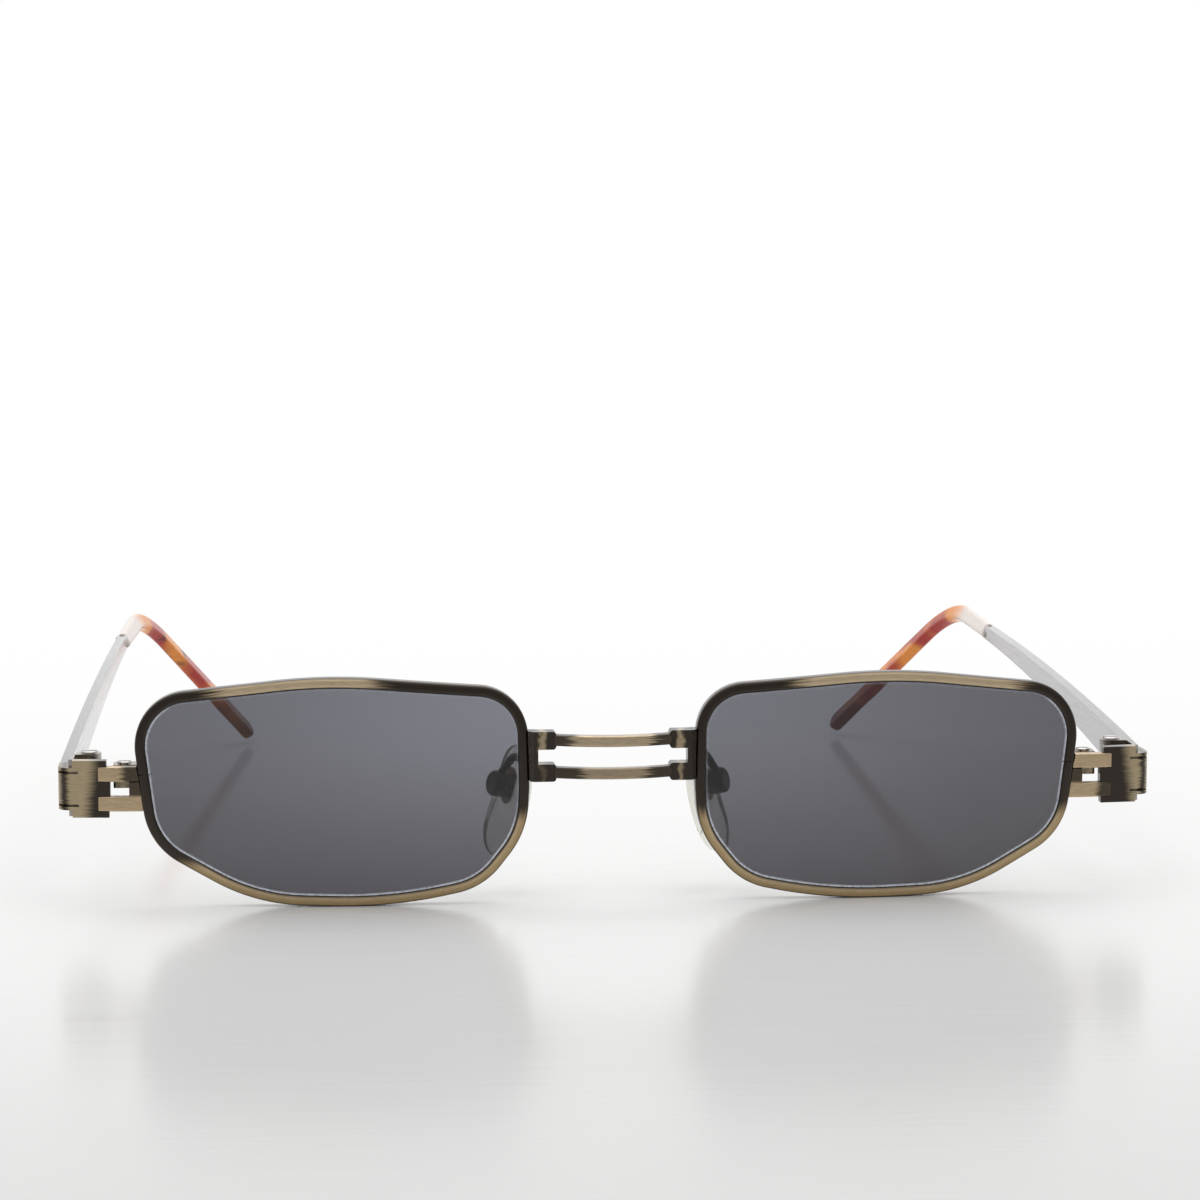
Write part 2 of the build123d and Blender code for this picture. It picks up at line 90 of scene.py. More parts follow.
def rise(tree, value, low, high, bottom=0.0, top=1.0):
    """A smooth step from bottom to top while the value goes from low to high."""
    node = tree.nodes.new("ShaderNodeMapRange")
    node.interpolation_type = "SMOOTHSTEP"
    give_looks(tree, node, {"Value": value, "From Min": low, "From Max": high, "To Min": bottom, "To Max": top})
    return node.outputs["Result"]


def fade(tree, value, low, high):
    """A smooth step from one down to nothing while the value goes from low to high."""
    return rise(tree, value, low, high, 1.0, 0.0)


def blend_colours(tree, share, first, second):
    """The first colour where the share is nothing, and the second where it is one."""
    node = tree.nodes.new("ShaderNodeMix")
    node.data_type = "RGBA"
    feed(tree, node.inputs[0], share)
    feed(tree, node.inputs[6], first)
    feed(tree, node.inputs[7], second)
    return node.outputs[2]


def own_place(tree):
    """The piece's own coordinates."""
    return tree.nodes.new("ShaderNodeTexCoord").outputs["Object"]


def parts_of(tree, vector):
    """The x, y and z of a vector."""
    node = tree.nodes.new("ShaderNodeSeparateXYZ")
    tree.links.new(vector, node.inputs[0])
    return tuple(node.outputs)


def grain(tree, waves, detail=3.0, seed=0.0, place=None):
    """Noise with the given number of waves to the metre along each axis of the piece."""
    mapping = tree.nodes.new("ShaderNodeMapping")
    give_looks(tree, mapping, {"Vector": place or own_place(tree), "Scale": waves, "Location": (seed, seed, seed)})
    noise = tree.nodes.new("ShaderNodeTexNoise")
    give_looks(tree, noise, {"Vector": mapping.outputs["Vector"], "Scale": 1.0, "Detail": detail})
    return noise.outputs["Fac"]


def relief(tree, surface, height, strength, depth):
    """Fine ups and downs of the given depth, felt by the light alone."""
    node = tree.nodes.new("ShaderNodeBump")
    give_looks(tree, node, {"Strength": strength, "Distance": depth, "Height": height})
    tree.links.new(node.outputs["Normal"], surface.inputs["Normal"])


def seen_by(tree, *rays):
    """One for rays of these kinds, and nothing for all others."""
    path = tree.nodes.new("ShaderNodeLightPath")
    return reckon(tree, "MAXIMUM", *(path.outputs[ray] for ray in rays))


bpy.ops.mesh.primitive_plane_add(size=2 * table_reach)
table = bpy.context.object
table.name = "table"
material, tree, surface = new_material("pale_table")
x, y, z = parts_of(tree, own_place(tree))
lines = grain(tree, rolled_waves, rolled_detail)
rough = reckon(tree, "ADD", rise(tree, y, *satin_y, *satin_rough), rise(tree, lines, *rolled_range, *rolled_rough))
give_looks(tree, surface, {
    "Base Color": blend_colours(tree, fade(tree, y, *table_near_y), table_colour, table_near_colour),
    "Roughness": rough,
})
relief(tree, surface, lines, rolled_strength, rolled_depth)
distance = reckon(tree, "SQRT", square_sum(tree, x, y))
far = reckon(tree, "MAXIMUM", rise(tree, distance, *white_distance), rise(tree, y, *white_y))
looked_at = seen_by(tree, "Is Camera Ray", "Is Transmission Ray", "Is Glossy Ray")
straight = seen_by(tree, "Is Camera Ray", "Is Transmission Ray")
mirrored = rise(tree, reckon(tree, "DIVIDE", y, distance), *glow_turn, front_glow, 1.0)
glow = tree.nodes.new("ShaderNodeEmission")
give_looks(tree, glow, {"Color": white, "Strength": reckon(tree, "MAXIMUM", mirrored, straight)})
faded = tree.nodes.new("ShaderNodeMixShader")
layers = (reckon(tree, "MULTIPLY", looked_at, far), surface.outputs["BSDF"], glow.outputs["Emission"])
for socket, layer in zip(faded.inputs, layers):
    tree.links.new(layer, socket)
tree.links.new(faded.outputs["Shader"], tree.nodes["Material Output"].inputs["Surface"])
table.data.materials.append(material)

# Room. White behind and overhead, where most of the light comes from.
# The camera's side is dim, and that is what the fronts of metal and glass mirror.
overhead_z = (0.15, 0.75)
world = bpy.data.worlds.new("white_room")
scene.world = world
world.use_nodes = True
tree = world.node_tree
x, y, z = parts_of(tree, tree.nodes.new("ShaderNodeTexCoord").outputs["Generated"])
overhead = rise(tree, z, *overhead_z, front_glow, 1.0)
behind = rise(tree, y, *glow_turn, front_glow, 1.0)
straight = seen_by(tree, "Is Camera Ray", "Is Transmission Ray")
strength = reckon(tree, "MAXIMUM", overhead, behind, straight)
give_looks(tree, tree.nodes["Background"], {"Color": white, "Strength": strength})

# Lamp. One wide soft box hangs over the sunglasses and a little behind them.
# It lights the upper faces of the metal and gives the soft shadow on the table.
box_width, box_depth, box_power, box_place = 0.9, 0.6, 2.6, (0.0, 0.12, 0.8)
light = bpy.data.lights.new("overhead_box", "AREA")
light.shape = "RECTANGLE"
light.size, light.size_y = box_width, box_depth
light.energy = box_power
lamp = bpy.data.objects.new("overhead_box", light)
lamp.location = box_place
scene.collection.objects.link(lamp)

# Camera. It stands in front and a little to the photo's left, above the lenses, with a long lens.
# It looks back over the front to the tips, turned and tipped down by a few degrees and hardly leaned.
camera_place, camera_lens, camera_film = (-0.0358, -0.48525, 0.0864), 105, 36
camera_yaw, camera_pitch, camera_roll = math.radians(-4.655), math.radians(-6.634), math.radians(0.06)
turned = (
    Matrix.Rotation(camera_yaw, 4, "Z") @ Matrix.Rotation(camera_pitch, 4, "X") @ Matrix.Rotation(camera_roll, 4, "Y")
)
camera_data = bpy.data.cameras.new("camera")
camera_data.lens = camera_lens
camera_data.sensor_width = camera_film
camera = bpy.data.objects.new("camera", camera_data)
camera.matrix_world = Matrix.Translation(camera_place) @ turned @ Matrix.Rotation(math.pi / 2, 4, "X")
scene.collection.objects.link(camera)
scene.camera = camera
scene.view_settings.view_transform = "Standard"


# Rims. Each is one length of profiled wire of a white copper alloy, bent round the lens and closed at the lock.
# The whole front is blackened and brushed, under clear lacquer. The rims are brushed bright again where a wheel reaches
# them, and the bright parts of the arms, corner blocks and bridge sockets are painted highlights.
# A pair of numbers named for the sides holds one for the wearer's right and one for the left.
rim_nose_x, rim_width, rim_height = 0.0102, 0.0480, 0.0280
rim_face, rim_depth, rim_edge = 0.00125, 0.0020, 0.0003
rim_split_z, rim_split_gap, split_after_corner = 0.0161, 0.00012, 2
rim_corners = (  # shares of the width and of the height, and of the shorter side next to it for the rounding
    (0.005, 0.943, 0.473),
    (0.512, 1.015, 0.272),
    (1.015, 0.914, 0.379),
    (0.966, 0.267, 0.284),
    (0.696, 0.011, 0.385),
    (0.353, -0.006, 0.595),
    (0.117, 0.072, 0.385),
    (0.006, 0.313, 0.605),
    (-0.001, 0.514, 0.108),
)
front_radius, front_y, front_z = 0.130, -0.0654727, -0.0000043
lens_middle_share = 0.37
lens_middle_x, lens_middle_z = rim_nose_x + lens_middle_share * rim_width, rim_height / 2
bend_steps, edge_steps, wire_step = 40, 4, 0.0003
dark_metal, bright_metal = (0.036, 0.027, 0.019, 1), (0.52, 0.41, 0.26, 1)
bright_rim, warm_rim = (0.74, 0.58, 0.38, 1), (0.42, 0.30, 0.15, 1)
noise_middle, noise_swing = 0.5, 0.25
streak_range, streak_smoother, streak_rougher = (0.3, 0.7), 0.05, 0.07
scratch_finer, scratch_detail, scratch_seed, scratch_range, scratch_depth = 3, 2.0, 7.0, (0.35, 0.65), 0.00003
side_change = 0.001
wire_waves, top_waver, low_waver = (200, 7000, 7000), 1.6, 0.5
top_z, top_start_x, top_end_x = (0.020, 0.0225), (0.0235, 0.0275), (0.0485, 0.0525)
top_start_sides, top_end_sides = (-0.0030, 0.0025), (0.0019, -0.0003)
low_z, low_slant_x, low_slant_sides = (0.0097, 0.0120), (0.030, 0.056), (0.0060, 0.0005)
edge_black, edge_bare = 0.15, 1.1
warm_until, bright_from, inner_bright = -0.6, 0.4, 0.5


def wire_place(tree):
    """Where a point lies on the swept wire: along it, across its face and through its depth."""
    node = tree.nodes.new("ShaderNodeAttribute")
    node.attribute_name = "wire_place"
    return node.outputs["Vector"]


def across_from_middle(tree):
    """The piece's own coordinates, with the distance from the middle of the front in place of x."""
    x, y, z = parts_of(tree, own_place(tree))
    return reckon(tree, "ABSOLUTE", x), y, z


def by_side(tree, right, left):
    """One number on the wearer's right side, where x is negative, and another on the left."""
    x, y, z = parts_of(tree, own_place(tree))
    return rise(tree, x, -side_change, side_change, right, left)


def window(tree, value, start, full, fall, end):
    """One between full and fall, nothing before start and after end."""
    return reckon(tree, "MULTIPLY", rise(tree, value, start, full), fade(tree, value, fall, end))


def brushed_metal(
    name, waves, wear_and_highlight, waver=0.0012, bright=bright_metal, rough=0.30, lines=0.22, coat=0.4, place_of=own_place
):
    """Blackened metal that is bright where the given mask says so: worn bare on some pieces, a painted highlight on
    others. The edge of the bright part wavers in streaks.
    """
    material, tree, surface = new_material(name)
    place = place_of(tree)
    streaks = grain(tree, waves, place=place)
    shift = reckon(tree, "MULTIPLY", reckon(tree, "SUBTRACT", streaks, noise_middle), waver / noise_swing)
    share, bare_and_highlight = wear_and_highlight(tree, shift, bright)
    scratches = grain(tree, tuple(scratch_finer * count for count in waves), scratch_detail, scratch_seed, place)
    scratched = rise(tree, scratches, *scratch_range, 0.0, lines)
    give_looks(tree, surface, {
        "Base Color": blend_colours(tree, scratched, blend_colours(tree, share, dark_metal, bare_and_highlight), dark_metal),
        "Metallic": 1.0,
        "Roughness": rise(tree, streaks, *streak_range, rough - streak_smoother, rough + streak_rougher),
        "Anisotropic": 0.4,
        "Coat Weight": coat,
        "Coat Roughness": 0.12,
    })
    relief(tree, surface, scratches, lines / 2, scratch_depth)
    return material


def rim_wear(tree, shift, bright):
    """Bright along the outer part of the top bar, warm along the lower half, dark round the corners and the sides."""
    x, y, z = across_from_middle(tree)
    along = reckon(tree, "ADD", x, reckon(tree, "MULTIPLY", shift, top_waver))
    start = rise(tree, reckon(tree, "ADD", along, by_side(tree, *top_start_sides)), *top_start_x)
    end = fade(tree, reckon(tree, "ADD", along, by_side(tree, *top_end_sides)), *top_end_x)
    top = reckon(tree, "MULTIPLY", start, end, rise(tree, z, *top_z))
    slant = rise(tree, x, *low_slant_x, 0.0, by_side(tree, *low_slant_sides))
    low = fade(tree, reckon(tree, "ADD", z, slant, reckon(tree, "MULTIPLY", shift, low_waver)), *low_z)
    along_wire, across_face, through_wire = parts_of(tree, wire_place(tree))
    half = rim_face / 2
    outer_edge = (edge_black * rim_edge - half, edge_bare * rim_edge - half)
    off_edge = window(tree, across_face, *outer_edge, half - rim_edge, half)
    inner = rise(tree, across_face, warm_until * half, bright_from * half, inner_bright, 0.0)
    warm = blend_colours(tree, inner, warm_rim, bright)
    bared = reckon(tree, "MULTIPLY", reckon(tree, "MAXIMUM", top, low), off_edge)
    return bared, blend_colours(tree, top, warm, bright)


def wire_outline(side):
    """The rim's outline from the split round to the split again, with the rounding of each corner as its radius."""
    corners = [Vector((rim_nose_x + w * rim_width, h * rim_height)) for w, h, taken in rim_corners]
    rounds = []
    for place, (w, h, taken) in enumerate(rim_corners):
        before = corners[place - 1] - corners[place]
        after = corners[(place + 1) % len(corners)] - corners[place]
        rounds.append(taken * min(before.length, after.length) * math.tan(before.angle(after) / 2))
    order = [(split_after_corner - step) % len(corners) for step in range(len(corners))]
    above, below = corners[order[0]], corners[order[-1]]
    levels = (rim_split_z + rim_split_gap / 2, rim_split_z - rim_split_gap / 2)
    first, last = (above.lerp(below, (above.y - level) / (above.y - below.y)) for level in levels)
    places = [first, *(corners[place] for place in order), last]
    radii = [0.0, *(rounds[place] for place in order), 0.0]
    if side < 0:
        places, radii = [Vector((-place.x, place.y)) for place in reversed(places)], radii[::-1]
    return places, radii


def wire_tree(name, material):
    """Sweeps a soft-edged bar along an outline drawn flat, then bows it back on the front's ball."""
    tree = bpy.data.node_groups.new(name, "GeometryNodeTree")
    tree.interface.new_socket("Outline", in_out="INPUT", socket_type="NodeSocketGeometry")
    for size in ("Face", "Depth", "Edge", "Inset", "Set Back", "Middle X"):
        tree.interface.new_socket(size, in_out="INPUT", socket_type="NodeSocketFloat")
    tree.interface.new_socket("Wire", in_out="OUTPUT", socket_type="NodeSocketGeometry")
    given = tree.nodes.new("NodeGroupInput").outputs

    def step(kind, geometry=None, settings=None, output=0, **choices):
        """One node of the sweep, and what it gives on."""
        node = tree.nodes.new("GeometryNode" + kind)
        for choice, value in choices.items():
            setattr(node, choice, value)
        if geometry is not None:
            tree.links.new(geometry, node.inputs[0])
        give_looks(tree, node, settings or {})
        return node.outputs[output]

    def kept(geometry, kind, label, value):
        """Keeps a value on the points of a curve, for use after the sweep."""
        node = tree.nodes.new("GeometryNodeCaptureAttribute")
        node.capture_items.new(kind, label)
        tree.links.new(geometry, node.inputs[0])
        tree.links.new(value, node.inputs[label])
        return node.outputs[0], node.outputs[label]

    def vector(*values):
        """A vector of these three values."""
        node = tree.nodes.new("ShaderNodeCombineXYZ")
        for socket, value in zip(node.inputs, values):
            feed(tree, socket, value)
        return node.outputs[0]

    path = step("FilletCurve", given["Outline"], {"Radius": step("InputRadius"), "Count": bend_steps}, mode="POLY")
    path = step("ResampleCurve", path, {"Length": wire_step}, mode="LENGTH")
    path = step("SetCurveNormal", path, mode="Z_UP")
    path = step("SetCurveRadius", path, {"Radius": 1.0})
    path, along = kept(path, "FLOAT", "Along", step("SplineParameter", output="Length"))

    profile = step("CurvePrimitiveQuadrilateral", None, {"Width": given["Face"], "Height": given["Depth"]})
    profile = step("FilletCurve", profile, {"Radius": given["Edge"], "Count": edge_steps}, mode="POLY")
    profile, section = kept(profile, "VECTOR", "Section", step("InputPosition"))
    half_face, half_depth = (reckon(tree, "MULTIPLY", given[size], 0.5) for size in ("Face", "Depth"))
    inwards = reckon(tree, "MULTIPLY", reckon(tree, "ADD", given["Inset"], half_face), -1)
    backwards = reckon(tree, "ADD", given["Set Back"], half_depth)
    profile = step("SetPosition", profile, {"Offset": vector(inwards, backwards, 0)})
    bar = step("CurveToMesh", path, {"Profile Curve": profile, "Fill Caps": True})

    flat_x, flat_up, flat_back = parts_of(tree, step("InputPosition"))
    out_x = reckon(tree, "SUBTRACT", flat_x, given["Middle X"])
    out_up = reckon(tree, "SUBTRACT", flat_up, lens_middle_z)
    reach = reckon(tree, "SQRT", reckon(tree, "SUBTRACT", front_radius ** 2, square_sum(tree, out_x, out_up)))
    bowed = reckon(tree, "SUBTRACT", front_y + front_radius, reach, flat_back)
    upright = vector(flat_x, bowed, reckon(tree, "ADD", flat_up, front_z))
    bar = step("SetPosition", bar, {"Position": upright})

    across_face, through_wire, flat = parts_of(tree, section)
    place = vector(along, across_face, through_wire)
    bar = step("StoreNamedAttribute", bar, {"Name": "wire_place", "Value": place}, data_type="FLOAT_VECTOR")
    bar = step("SetShadeSmooth", bar)
    bar = step("RealizeInstances", bar)
    bar = step("SetMaterial", bar, {"Material": material})
    tree.links.new(bar, tree.nodes.new("NodeGroupOutput").inputs[0])
    return tree


def bent_wire(name, side, tree, sizes):
    """One bar swept along the rim's outline on the given side, as a plain mesh at the origin."""
    drawn = bpy.data.curves.new(name, "CURVE")
    drawn.dimensions = "3D"
    places, radii = wire_outline(side)
    spline = drawn.splines.new("POLY")
    spline.points.add(len(places) - 1)
    for point, place, radius in zip(spline.points, places, radii):
        point.co = (place.x, place.y, 0, 1)
        point.radius = radius
    source = bpy.data.objects.new(name + "_outline", drawn)
    scene.collection.objects.link(source)
    sweep = source.modifiers.new("sweep", "NODES")
    sweep.node_group = tree
    for socket in tree.interface.items_tree:
        if socket.in_out == "INPUT" and socket.name in sizes:
            sweep[socket.identifier] = sizes[socket.name]
    graph = bpy.context.evaluated_depsgraph_get()
    mesh = bpy.data.meshes.new_from_object(source.evaluated_get(graph), depsgraph=graph)
    bpy.data.objects.remove(source)
    made = bpy.data.objects.new(name, mesh)
    scene.collection.objects.link(made)
    return made


def dress(material, *names):
    """Give the CAD pieces of these names, on both sides where there are two, their finish."""
    for name in names:
        for piece in (name, name + "_left", name + "_right"):
            if piece in nodes:
                nodes[piece].data.materials.clear()
                nodes[piece].data.materials.append(material)


rim_metal = brushed_metal("rim_metal", wire_waves, rim_wear, bright=bright_rim, place_of=wire_place)
rim_tree = wire_tree("rim_wire", rim_metal)
for name, side in (("left", 1), ("right", -1)):
    sizes = {"Face": rim_face, "Depth": rim_depth, "Edge": rim_edge, "Middle X": side * lens_middle_x}
    wire = bent_wire("rim_wire_" + name, side, rim_tree, sizes)
    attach(wire, "front")
    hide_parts("rim_" + name)

# Lenses. Grey tinted glass, polished on both faces and a little domed like the front, held in the groove of the rim.
# They are darker towards the foot and the outer ends. Their ground edge shows as a thin pale line, partly its own
# colour and partly a painted highlight, fullest along the foot and at the outer end.
lens_top, lens_foot, lens_outer = (0.200, 0.205, 0.234, 1), (0.104, 0.100, 0.115, 1), (0.060, 0.057, 0.062, 1)
tint_z, tint_x = (0.003, 0.023), (0.008, 0.062)
inner_tint_sides, outer_tint_sides = (0.0, 0.24), (0.48, 0.62)
ground_glint_colour = (0.80, 0.84, 0.92, 1)
ground_inset, ground_face, ground_depth, ground_set_back = 0.00129, 0.00036, 0.00010, 0.00022
ground_edge = ground_depth / 4
line_from, line_full = -0.5, 0.3
line_z, line_top_share = (0.014, 0.008), 0.12
line_outer_x, line_outer_share = (0.0530, 0.0550), 0.75
speck_waves, speck_detail, speck_range, speck_share = (2500, 2500, 2500), 2.0, (0.30, 0.62), 0.65

material, tree, surface = new_material("grey_lens_glass")
x, y, z = across_from_middle(tree)
tint = blend_colours(tree, rise(tree, z, *tint_z), lens_foot, lens_top)
outwards = rise(tree, x, *tint_x, by_side(tree, *inner_tint_sides), by_side(tree, *outer_tint_sides))
give_looks(tree, surface, {
    "Base Color": blend_colours(tree, outwards, tint, lens_outer),
    "Roughness": 0.0,
    "Transmission Weight": 1.0,
    "IOR": 1.5,
    "Specular IOR Level": 0.3,
})
dress(material, "lens")

# The ground edge band: a pale colour with a painted highlight, fullest along the foot and at the outer end.
material, tree, surface = new_material("ground_lens_edge_glint")
x, y, z = across_from_middle(tree)
along_wire, across_face, through_wire = parts_of(tree, wire_place(tree))
line = rise(tree, across_face, line_from * ground_face, line_full * ground_face)
low = rise(tree, z, *line_z, line_top_share, 1.0)
outer = rise(tree, x, *line_outer_x, 0.0, line_outer_share)
specks = rise(tree, grain(tree, speck_waves, speck_detail), *speck_range, speck_share, 1.0)
give_looks(tree, surface, {
    "Base Color": ground_glint_colour,
    "Alpha": reckon(tree, "MULTIPLY", reckon(tree, "MAXIMUM", low, outer), line, specks),
    "Roughness": 0.3,
})
ground_tree = wire_tree("ground_edge", material)
for name, side in (("left", 1), ("right", -1)):
    sizes = {"Face": ground_face, "Depth": ground_depth, "Edge": ground_edge, "Inset": ground_inset,
             "Set Back": ground_set_back, "Middle X": side * lens_middle_x}
    band = bent_wire("lens_ground_edge_glint_" + name, side, ground_tree, sizes)
    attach(band, "front")


# Rim locks with their screws. Two small milled blocks stand above and below the split of each rim, brazed to it.
# A turned screw draws them together on the lens. The blocks are left darker, and the screw is worn nearly bare; its
# light colour also stands in for a painted highlight on its head.
small_waves = (900, 900, 900)
screw_bare_and_highlight = (0.62, 0.60, 0.57, 1)


def touched(waves, seed, noise, share, detail=2.0):
    """Wear in touches all over the piece, from the lower share to the higher one."""
    def wear_and_highlight(tree, shift, bright):
        touches = grain(tree, (waves, waves, waves), detail, seed)
        return rise(tree, touches, *noise, *share), bright
    return wear_and_highlight


half_worn = touched(waves=700, seed=3.0, noise=(0.35, 0.65), share=(0.20, 0.55))
fitting_metal = brushed_metal("fitting_metal", small_waves, half_worn, rough=0.26)
dress(fitting_metal, "rim_lock_upper", "rim_lock_lower")
screw_wear_and_highlight = touched(waves=500, seed=1.0, noise=(0.30, 0.50), share=(0.55, 0.95))
screw_metal = brushed_metal("screw_metal", small_waves, screw_wear_and_highlight, bright=screw_bare_and_highlight, rough=0.24, coat=1.0)
dress(screw_metal, "rim_lock_screw")

# End piece arms. Two flat strips on each side, brazed to the rim and let into notches of the corner block.
# The upper one carries a painted highlight towards the block, and the lower one from the rim on, below its black root.
arm_highlight, arm_waves = (0.56, 0.42, 0.26, 1), (250, 250, 5000)
upper_start_sides, upper_start_length = (0.0590, 0.0560), 0.0012
lower_end_sides, lower_end_length = (0.0640, 0.0604), 0.0010
arm_least, arm_root_z, between_arms_z = 0.08, (0.0133, 0.0138), (0.01525, 0.01535)


def arm_highlight_mask(tree, shift, bright):
    """A painted highlight on the outer part of the upper arm and on the inner part of the lower one."""
    x, y, z = across_from_middle(tree)
    along = reckon(tree, "ADD", x, shift)
    start, end = by_side(tree, *upper_start_sides), by_side(tree, *lower_end_sides)
    upper = rise(tree, along, start, reckon(tree, "ADD", start, upper_start_length), arm_least, 1.0)
    lower = rise(tree, along, end, reckon(tree, "ADD", end, lower_end_length), 1.0, arm_least)
    lower = reckon(tree, "MULTIPLY", lower, rise(tree, z, *arm_root_z, 1.0, arm_least))
    return rise(tree, z, *between_arms_z, lower, upper), bright


arm_metal = brushed_metal("arm_metal", arm_waves, arm_highlight_mask, waver=0.0004, bright=arm_highlight)
dress(arm_metal, "end_arm_upper", "end_arm_lower")

# Corner blocks. One plate each, bent back to the temple, with notches for the arms and slits and windows at the bend.
# The face is brushed from side to side. A painted highlight lies across it up to the bend, set a little further in on
# one side, and again on the flank; beside the arms and along the bend it is left dark as painted shade.
block_highlight, block_waves = (0.49, 0.39, 0.245, 1), (250, 250, 6000)
block_slant_z, block_slant, block_light_sides = (0.011, 0.018), (-0.0004, 0.0004), (0.0, -0.0013)
block_start_x, block_end_x = (0.0626, 0.0644), (0.0659, 0.0667)
block_flank_x, block_flank_share = (0.0668, 0.0674), 0.7


def block_highlight_mask(tree, shift, bright):
    """A painted highlight on the face up to the bend, set differently on the two sides, and again on the flank."""
    x, y, z = across_from_middle(tree)
    along = reckon(tree, "ADD", x, shift)
    slant = reckon(tree, "ADD", rise(tree, z, *block_slant_z, *block_slant), by_side(tree, *block_light_sides))
    start = rise(tree, reckon(tree, "ADD", along, slant), *block_start_x)
    face = reckon(tree, "MULTIPLY", start, fade(tree, along, *block_end_x))
    flank = rise(tree, along, *block_flank_x, 0.0, block_flank_share)
    return reckon(tree, "MAXIMUM", face, flank), bright


block_metal = brushed_metal("block_metal", block_waves, block_highlight_mask, waver=0.0003, bright=block_highlight)
dress(block_metal, "corner_block")

# Hinges. Two stamped leaves with three knuckles on one slotted screw, brazed to the block and to the temple.
# The leaves are left nearly bare, with a thin dark film in places.
leaf_bright, leaf_waves = (0.50, 0.47, 0.43, 1), (250, 250, 4000)
leaf_worn = touched(waves=350, seed=1.0, noise=(0.25, 0.75), share=(0.55, 0.95), detail=1.0)
hinge_metal = brushed_metal("hinge_metal", leaf_waves, leaf_worn, bright=leaf_bright, rough=0.28, lines=0.12)
dress(hinge_metal, "hinge_leaf_front", "hinge_leaf_temple")
# The hinge screw takes the same light finish, partly worn bare and partly a painted highlight on its head.
dress(screw_metal, "hinge_screw")

# Temples. Flat strips that narrow to the tips and run on inside them as a wire, turning on the hinge's screw.
# They are brushed lengthwise all over and lacquered, and are a little darker close to the hinge.
temple_bright, temple_waves = (0.30, 0.30, 0.315, 1), (4000, 60, 4000)
temple_hinge_y, temple_share = (-0.055, -0.050), (0.7, 0.9)


def temple_wear(tree, shift, bright):
    """Bright all along, a little less so close to the hinge."""
    x, y, z = across_from_middle(tree)
    return rise(tree, reckon(tree, "ADD", y, shift), *temple_hinge_y, *temple_share), bright


temple_metal = brushed_metal(
    "temple_metal", temple_waves, temple_wear, bright=temple_bright, rough=0.20, lines=0.10, coat=1.0
)
dress(temple_metal, "temple")

# Temple tips. Sleeves of tortoise-coloured acetate, bent over the wire and polished. Light passes through them.
# The straight part is pale as a painted reflection, and the bend and the drop are amber with red and brown clouds.
tip_pale_sheen, tip_amber = (0.88, 0.80, 0.75, 1), (0.95, 0.34, 0.045, 1)
tip_red, tip_brown = (0.50, 0.030, 0.015, 1), (0.090, 0.014, 0.012, 1)
tip_bend_y, tip_uneven, tip_clearness = (0.040, 0.047), 0.004, (0.15, 0.30)
tip_dark_z, tip_dark_share = (0.010, 0.003), 0.7
cloud_waves, cloud_range, cloud_sides = (110, 110, 110), (0.44, 0.58), (0.05, -0.05)
spot_waves, spot_range = (150, 150, 150), (0.60, 0.68)
cloud_detail, cloud_seed, spot_seed = 2.0, 2.0, 5.0

material, tree, surface = new_material("tortoise_acetate")
x, y, z = across_from_middle(tree)
clouds = grain(tree, cloud_waves, cloud_detail, cloud_seed)
spots = grain(tree, spot_waves, cloud_detail, spot_seed)
amber = rise(tree, reckon(tree, "ADD", clouds, by_side(tree, *cloud_sides)), *cloud_range)
brown = reckon(tree, "MAXIMUM", rise(tree, spots, *spot_range), rise(tree, z, *tip_dark_z, 0.0, tip_dark_share))
shade = blend_colours(tree, brown, blend_colours(tree, amber, tip_red, tip_amber), tip_brown)
# Before the bend the colour is the pale painted reflection; from the bend on it is the acetate's own colour.
bent = rise(tree, reckon(tree, "ADD", y, reckon(tree, "MULTIPLY", clouds, tip_uneven)), *tip_bend_y)
give_looks(tree, surface, {
    "Base Color": blend_colours(tree, bent, tip_pale_sheen, shade),
    "Roughness": 0.10,
    "Transmission Weight": rise(tree, y, *tip_bend_y, *tip_clearness),
    "IOR": 1.48,
})
dress(material, "temple_tip")

# Bridge. Two bars, bowed forwards, are let into the sockets of a bracket on each rim and brazed there.
# The bars are lighter in the middle, and each socket carries one streak of painted highlight.
bar_bright, bar_waves = (0.505, 0.40, 0.265, 1), (220, 220, 5000)
bar_end_x, bar_least = (0.0042, 0.0056), 0.06
between_bars_z, lower_bar_shift, lower_bar_share = (0.0175, 0.0190), 0.0010, 0.75
streak_x, streak_sides = (0.0075, 0.0080, 0.0082, 0.0087), (0.0005, 0.0002)
lower_streak_sides, upper_streak_share = (0.15, 0.6), 0.8


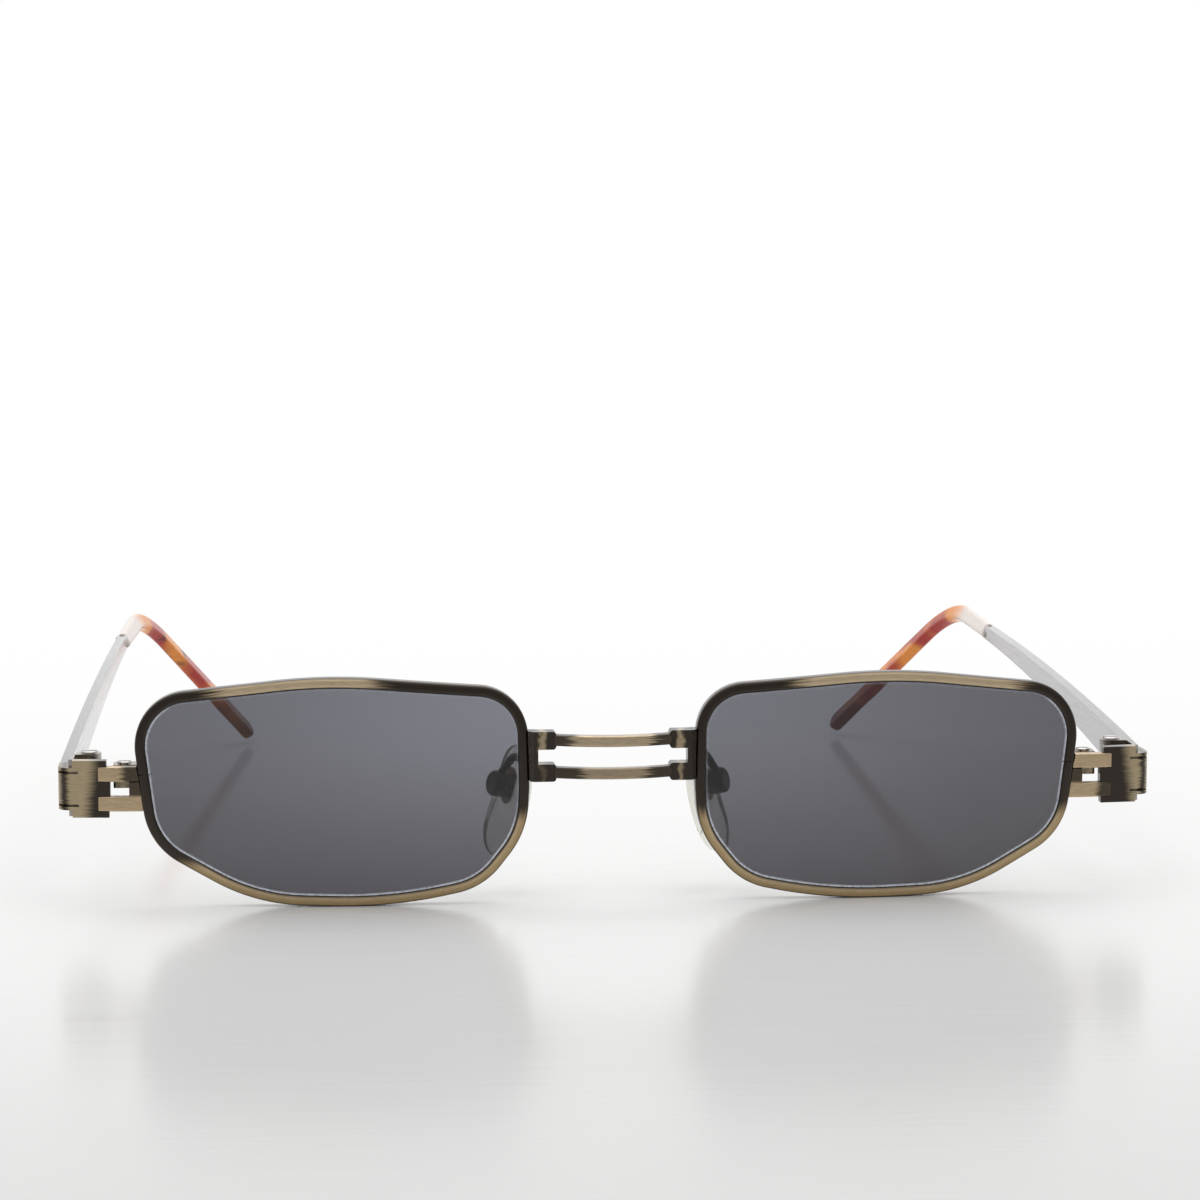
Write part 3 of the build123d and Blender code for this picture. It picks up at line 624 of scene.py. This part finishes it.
def bar_bright_middle(tree, shift, bright):
    """Bright in the middle. On the lower bar it is shorter and duller."""
    x, y, z = across_from_middle(tree)
    shorter = rise(tree, z, *between_bars_z, lower_bar_shift, 0.0)
    along = reckon(tree, "ADD", x, reckon(tree, "ADD", shift, shorter))
    middle = rise(tree, along, *bar_end_x, 1.0, bar_least)
    return reckon(tree, "MULTIPLY", middle, rise(tree, z, *between_bars_z, lower_bar_share, 1.0)), bright


def bracket_highlight_mask(tree, shift, bright):
    """One streak of painted highlight across each socket, fainter on the lower ones."""
    x, y, z = across_from_middle(tree)
    along = reckon(tree, "SUBTRACT", reckon(tree, "ADD", x, shift), by_side(tree, *streak_sides))
    share = rise(tree, z, *between_bars_z, by_side(tree, *lower_streak_sides), upper_streak_share)
    return reckon(tree, "MULTIPLY", window(tree, along, *streak_x), share), bright


bar_metal = brushed_metal("bar_metal", bar_waves, bar_bright_middle, bright=bar_bright)
dress(bar_metal, "bridge_bar_upper", "bridge_bar_lower")
bracket_metal = brushed_metal("bracket_metal", small_waves, bracket_highlight_mask, waver=0.0004)
dress(bracket_metal, "bridge_bracket")

# Pad arms, boxes, screws and inserts. A bent wire brazed to the rim carries a small box, where the screw holds the pad.
# They are left nearly black. The insert is a stamped plate inside the pad, of a redder metal and half worn.
insert_bright = (0.34, 0.17, 0.07, 1)
hardly_worn = touched(waves=700, seed=3.0, noise=(0.52, 0.68), share=(0.0, 0.12))
pad_metal = brushed_metal("pad_metal", small_waves, hardly_worn, rough=0.34, coat=0.1)
dress(pad_metal, "pad_arm", "pad_box", "pad_screw")
insert_metal = brushed_metal("insert_metal", small_waves, half_worn, bright=insert_bright)
dress(insert_metal, "pad_insert")

# Nose pads. Soft clear silicone, moulded over the insert, a little milky and yellow.
# Each hangs on the screw in its box and rocks there, so that it lies flat on the nose.
pad_clear, pad_yellow = (0.95, 0.945, 0.90, 1), (0.90, 0.885, 0.80, 1)
haze_waves, haze_detail, haze_range, haze_rough = (300, 300, 300), 2.0, (0.3, 0.7), (0.02, 0.06)
material, tree, surface = new_material("clear_silicone")
haze = grain(tree, haze_waves, haze_detail)
give_looks(tree, surface, {
    "Base Color": blend_colours(tree, haze, pad_clear, pad_yellow),
    "Roughness": rise(tree, haze, *haze_range, *haze_rough),
    "Transmission Weight": 0.88,
    "IOR": 1.41,
})
dress(material, "nose_pad")
